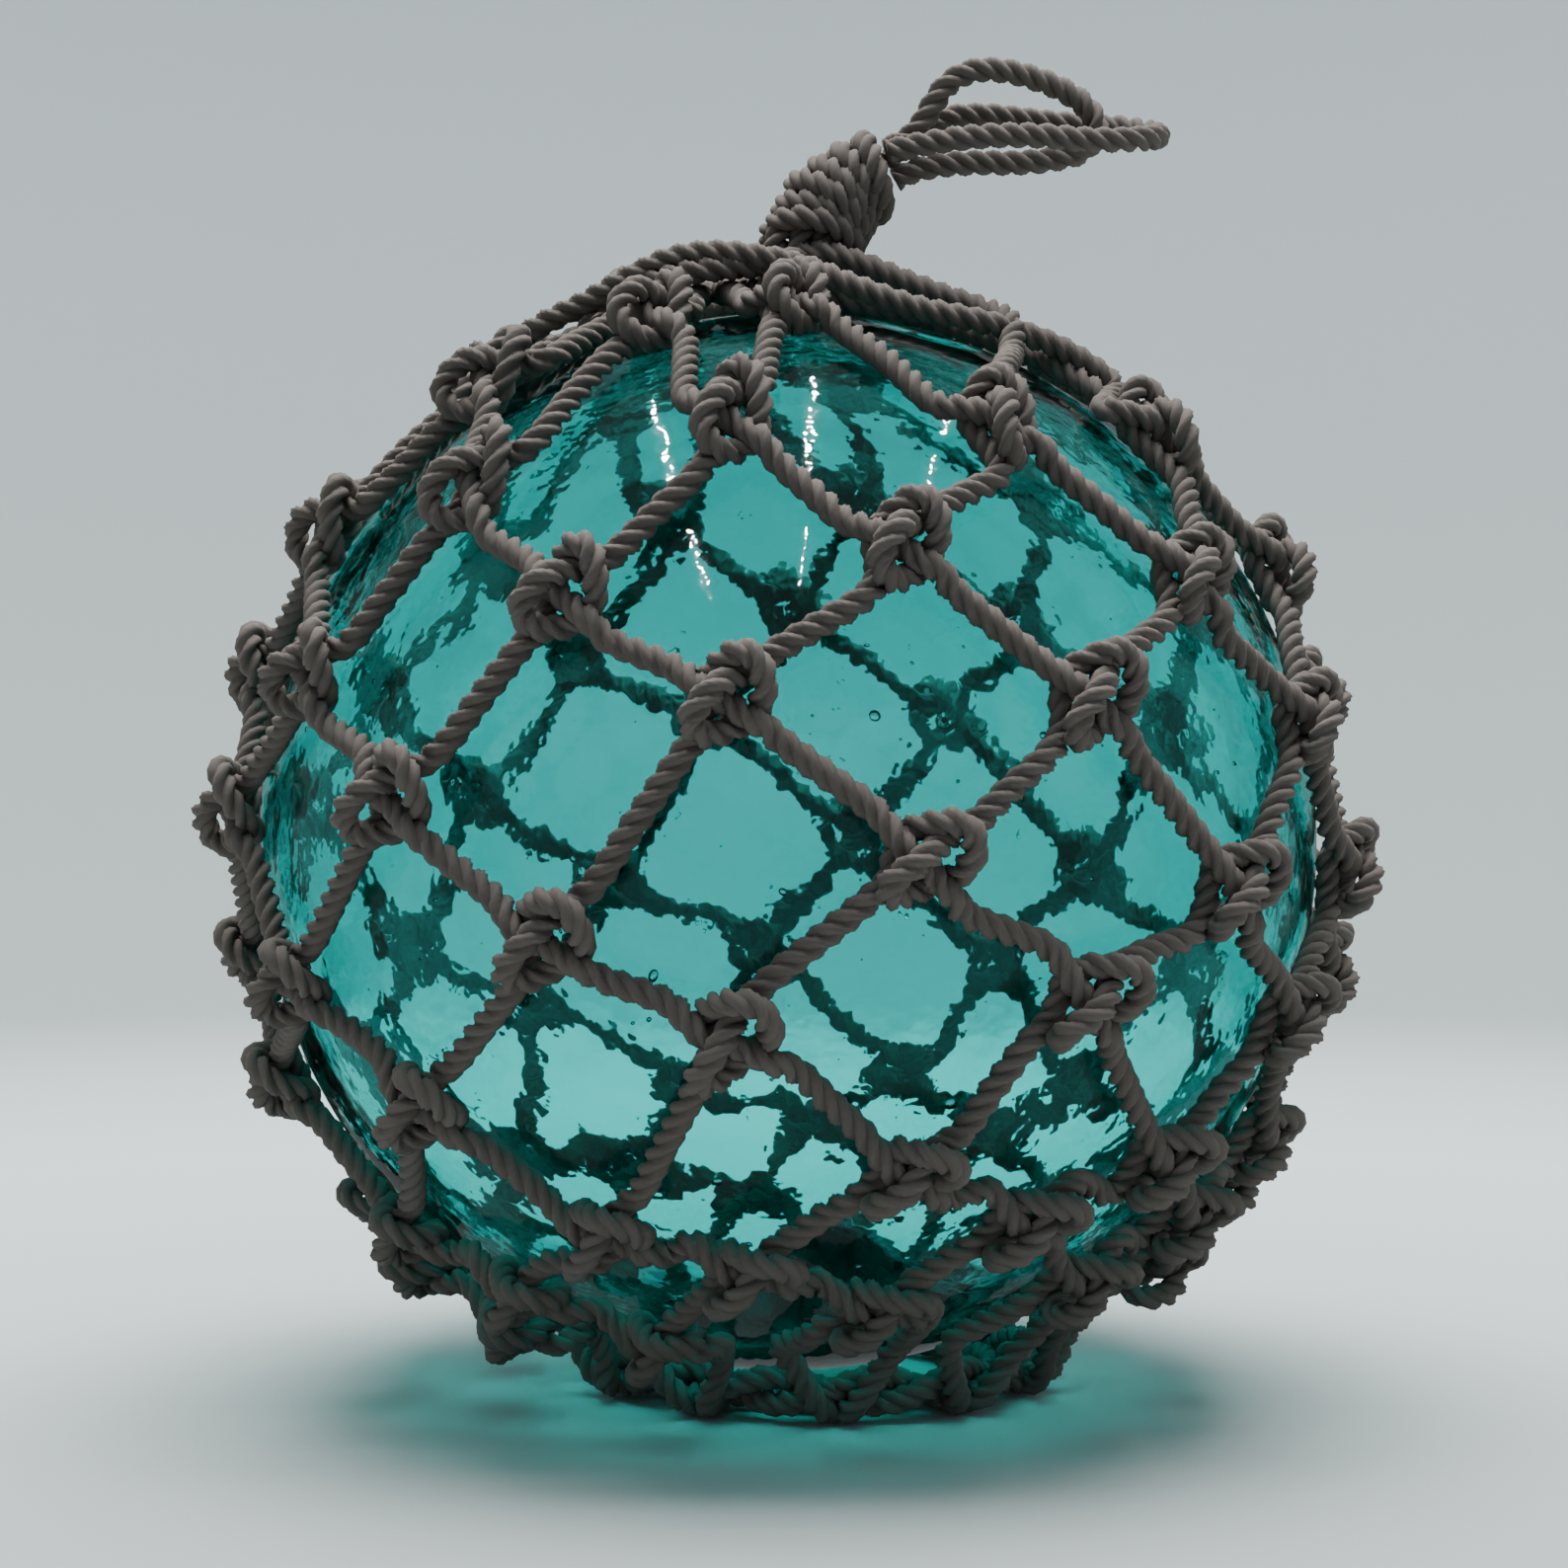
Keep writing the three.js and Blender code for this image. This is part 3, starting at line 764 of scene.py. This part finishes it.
def rope_material():
    """Old grey-brown laid rope: yarn lines along each strand, painted shade in the grooves, uneven fading."""
    if "rope" in bpy.data.materials:
        return bpy.data.materials["rope"]
    n = Nodes("rope")
    place = n.add("SeparateXYZ", {0: n.add("UVMap", uv_map="rope").outputs[0]})
    along, around = place.outputs[0], place.outputs[1]
    # Nearness to a groove between the strands, 1 in the groove, for the painted shade that darkens the rope
    # there
    groove = n.math("ABSOLUTE", n.math("SUBTRACT", n.math("MULTIPLY", n.math("FRACT", around), 2), 1))
    yarn_turn = n.math(
        "ADD", n.math("MULTIPLY", around, YARNS_PER_STRAND), n.math("MULTIPLY", along, YARN_SLANT)
    )
    yarn = n.math("SINE", n.math("MULTIPLY", yarn_turn, 2 * math.pi))
    lengthwise = n.math("MULTIPLY", along, FIBRE_STRETCH[0])
    crosswise = n.math("MULTIPLY", yarn_turn, FIBRE_STRETCH[1])
    stretched = n.add("CombineXYZ", {0: lengthwise, 1: crosswise})
    fibres = n.add(
        "TexNoise", {"Vector": stretched.outputs[0], "Scale": 2.2, "Detail": 4, "Roughness": 0.65}
    ).outputs[0]
    position = n.add("TexCoord").outputs["Object"]
    fading = n.add("TexNoise", {"Vector": position, "Scale": 26, "Detail": 3, "Roughness": 0.6}).outputs[0]
    grain = n.add("TexNoise", {"Vector": position, "Scale": 900, "Detail": 2}).outputs[0]
    shade = n.math("MULTIPLY", n.math("SUBTRACT", fibres, 0.5), FIBRE_SHADE)
    shade = n.math("ADD", shade, n.math("MULTIPLY", fading, FADING_SHADE))
    shade = n.math("ADD", shade, n.math("MULTIPLY", yarn, YARN_SHADE))
    shade = n.math("ADD", shade, n.math("MULTIPLY", n.math("SUBTRACT", grain, 0.5), GRAIN_SHADE))
    # Painted shade: the colour is darkened towards each groove between the strands
    colour = n.multiply(n.ramp(shade, ROPE_SHADES), n.ramp(groove, ROPE_GROOVE_PAINTED_SHADE))
    height = n.math("ADD", n.math("MULTIPLY", yarn, YARN_HEIGHT), n.math("MULTIPLY", fibres, FIBRE_HEIGHT))
    height = n.math("ADD", height, n.math("MULTIPLY", grain, GRAIN_HEIGHT))
    bump = n.add("Bump", {"Strength": 0.9, "Distance": 0.0006, "Height": height}).outputs[0]
    shader = n.add(
        "BsdfPrincipled",
        {
            "Base Color": colour,
            "Roughness": n.ramp(fibres, [(0.0, 0.92), (1.0, 0.68)]),
            "Specular IOR Level": 0.35,
            "Sheen Weight": 0.25,
            "Sheen Roughness": 0.6,
            "Normal": bump,
        },
    )
    n.add("OutputMaterial", {"Surface": shader.outputs[0]})
    return n.material


GLASS_ABSORBS = (0.0, 0.872, 0.855, 1.0)
GLASS_DENSITY = 420.0
GLASS_SHADOW = (0.53, 0.64, 0.635, 1.0)  # what one face of the glass lets through to the shadow


def glass_material():
    """Teal glass, coloured through its thickness. Lamps shine through it, which tints its shadow."""
    n = Nodes("glass")
    position = n.add("TexCoord").outputs["Object"]
    ripple = n.add("TexNoise", {"Vector": position, "Scale": 110, "Detail": 2, "Roughness": 0.5}).outputs[0]
    bump = n.add("Bump", {"Strength": 0.22, "Distance": 0.0006, "Height": ripple}).outputs[0]
    shader = n.add(
        "BsdfPrincipled",
        {
            "Base Color": (1, 1, 1, 1),
            "Roughness": 0.02,
            "IOR": 1.5,
            "Transmission Weight": 1.0,
            "Normal": bump,
        },
    )
    clear = n.add("BsdfTransparent", {"Color": GLASS_SHADOW})
    is_shadow = n.add("LightPath").outputs["Is Shadow Ray"]
    surface = n.add("MixShader", {0: is_shadow, 1: shader.outputs[0], 2: clear.outputs[0]})
    volume = n.add("VolumeAbsorption", {"Color": GLASS_ABSORBS, "Density": GLASS_DENSITY})
    n.add("OutputMaterial", {"Surface": surface.outputs[0], "Volume": volume.outputs[0]})
    return n.material


# ---------------------------------------------------------------------------------------------
# Stage: a pale floor that curves up into a round backdrop, and soft lights
# ---------------------------------------------------------------------------------------------

FLOOR_RADIUS = 1.5
FLOOR_RINGS = [(0.0, 0.0), (0.4, 0.0), (0.9, 0.0)]  # radius and height of the flat part's own rings
CURVE_RADIUS = 0.5
CURVE_STEP = 6  # degrees
WALL_RADIUS = FLOOR_RADIUS + CURVE_RADIUS
WALL_HEIGHT = 2.6
STAGE_SIDES = 96
STAGE_TINT = (0.875, 0.975, 1.0, 1.0)
# Painted shade, from the stage's middle out to its wall: darker round the middle and at the wall than between
# them
STAGE_PAINTED_GREYS = [(0.0, 0.62), (0.14, 0.68), (0.30, 0.82), (0.5, 0.82), (0.8, 0.70), (1.0, 0.66)]
STAGE_FRONT_PAINTED_SHADE = [(0.0, 0.42), (0.35, 0.5), (0.5, 1.0)]  # painted shade for the dim room behind the camera, from the front of the stage to its middle

SOFTBOX_PLACE = (0.0, 0.2, 1.7)
SOFTBOX_SIZE = (1.5, 1.1)
SOFTBOX_POWER = 74
SOFTBOX_COLOUR = (1.0, 0.99, 0.97)
ROOM_COLOUR = (0.80, 0.90, 0.93, 1)
ROOM_STRENGTH = 0.2

LAMP_ROWS = (-0.42, 0.08, 0.52)
LAMP_ROW_ENDS = (-1.05, 0.55)
LAMP_SPACING = 0.05
LAMP_SIZE = (0.010, 0.016)
LAMP_HEIGHT = 1.5
LAMP_STRENGTH = 1300.0


def stage_material():
    """Pale grey with painted shade: its grey changes from the middle outwards, and it is painted darker
    towards the front of the stage, for the dim room behind the camera.
    """
    n = Nodes("stage")
    place = n.add("SeparateXYZ", {0: n.add("TexCoord").outputs["Object"]})
    flat = n.add("CombineXYZ", {0: place.outputs[0], 1: place.outputs[1]})
    distance = n.add("VectorMath", {0: flat.outputs[0]}, operation="LENGTH").outputs["Value"]
    # Painted shade: greys from the middle outwards, darker round the middle and at the wall
    grey = n.ramp(n.math("DIVIDE", distance, WALL_RADIUS), STAGE_PAINTED_GREYS)
    # Painted shade: darker towards the front of the stage, for the dim room behind the camera
    depth = n.math("ADD", n.math("DIVIDE", place.outputs[1], 2 * WALL_RADIUS), 0.5)
    colour = n.multiply(n.multiply(grey, STAGE_TINT), n.ramp(depth, STAGE_FRONT_PAINTED_SHADE))
    shader = n.add("BsdfPrincipled", {"Base Color": colour, "Roughness": 0.75})
    n.add("OutputMaterial", {"Surface": shader.outputs[0]})
    return n.material


def make_stage():
    curve = [
        (FLOOR_RADIUS + CURVE_RADIUS * sind(angle), CURVE_RADIUS * (1 - cosd(angle)))
        for angle in range(0, 91, CURVE_STEP)
    ]
    profile = [*FLOOR_RINGS, *curve, (WALL_RADIUS, WALL_HEIGHT)]
    turns = [360 * side / STAGE_SIDES for side in range(STAGE_SIDES)]
    vertices = [(r * sind(turn), r * cosd(turn), z) for r, z in profile for turn in turns]
    faces = []
    for ring in range(len(profile) - 1):
        inner, outer = ring * STAGE_SIDES, (ring + 1) * STAGE_SIDES
        for side in range(STAGE_SIDES):
            following = (side + 1) % STAGE_SIDES
            faces.append((inner + side, outer + side, outer + following, inner + following))
    mesh = bpy.data.meshes.new("stage")
    mesh.from_pydata(vertices, [], faces)
    stage = add_object("stage", mesh, stage_material())
    stage.visible_glossy = False  # the glass mirrors a dim room, so its own colour stays deep


def make_softbox():
    data = bpy.data.lights.new("top_softbox", "AREA")
    data.shape = "RECTANGLE"
    data.size, data.size_y = SOFTBOX_SIZE
    data.energy = SOFTBOX_POWER
    data.color = SOFTBOX_COLOUR
    softbox = bpy.data.objects.new("top_softbox", data)
    softbox.location = SOFTBOX_PLACE
    aim = Vector(BALL_CENTRE) - Vector(SOFTBOX_PLACE)
    softbox.rotation_euler = aim.to_track_quat("-Z", "Y").to_euler()
    softbox.visible_glossy = softbox.visible_transmission = False  # only the lamp rows show in the glass
    bpy.context.scene.collection.objects.link(softbox)


def make_room_light():
    """A dim even light from all round."""
    world = bpy.data.worlds.new("world")
    world.use_nodes = True
    background = world.node_tree.nodes["Background"]
    background.inputs["Color"].default_value = ROOM_COLOUR
    background.inputs["Strength"].default_value = ROOM_STRENGTH
    bpy.context.scene.world = world


def make_lamp_rows():
    """Rows of small bright lamps overhead. They show only as the broken sparkles that the glass mirrors."""
    n = Nodes("lamps")
    glow = n.add("Emission", {"Strength": LAMP_STRENGTH})
    n.add("OutputMaterial", {"Surface": glow.outputs[0]})
    width, length = LAMP_SIZE
    corners = []
    for x in LAMP_ROWS:
        for y in np.arange(*LAMP_ROW_ENDS, LAMP_SPACING):
            for a, b in ((-1, -1), (-1, 1), (1, 1), (1, -1)):
                corners.append((x + a * width / 2, y + b * length / 2, LAMP_HEIGHT))
    faces = np.arange(len(corners)).reshape(-1, 4).tolist()
    mesh = bpy.data.meshes.new("lamp_rows")
    mesh.from_pydata(corners, [], faces)
    lamps = add_object("lamp_rows", mesh, n.material)
    lamps.visible_camera = lamps.visible_diffuse = lamps.visible_transmission = lamps.visible_shadow = False


make_camera()
make_loop("round_rope_loop", "hanger_loop_round", ROUND_LOOP)
make_loop("long_rope_loop", "hanger_loop_long", LONG_LOOP)
make_coil()
make_net()
make_glass()
make_stage()
make_softbox()
make_room_light()
make_lamp_rows()
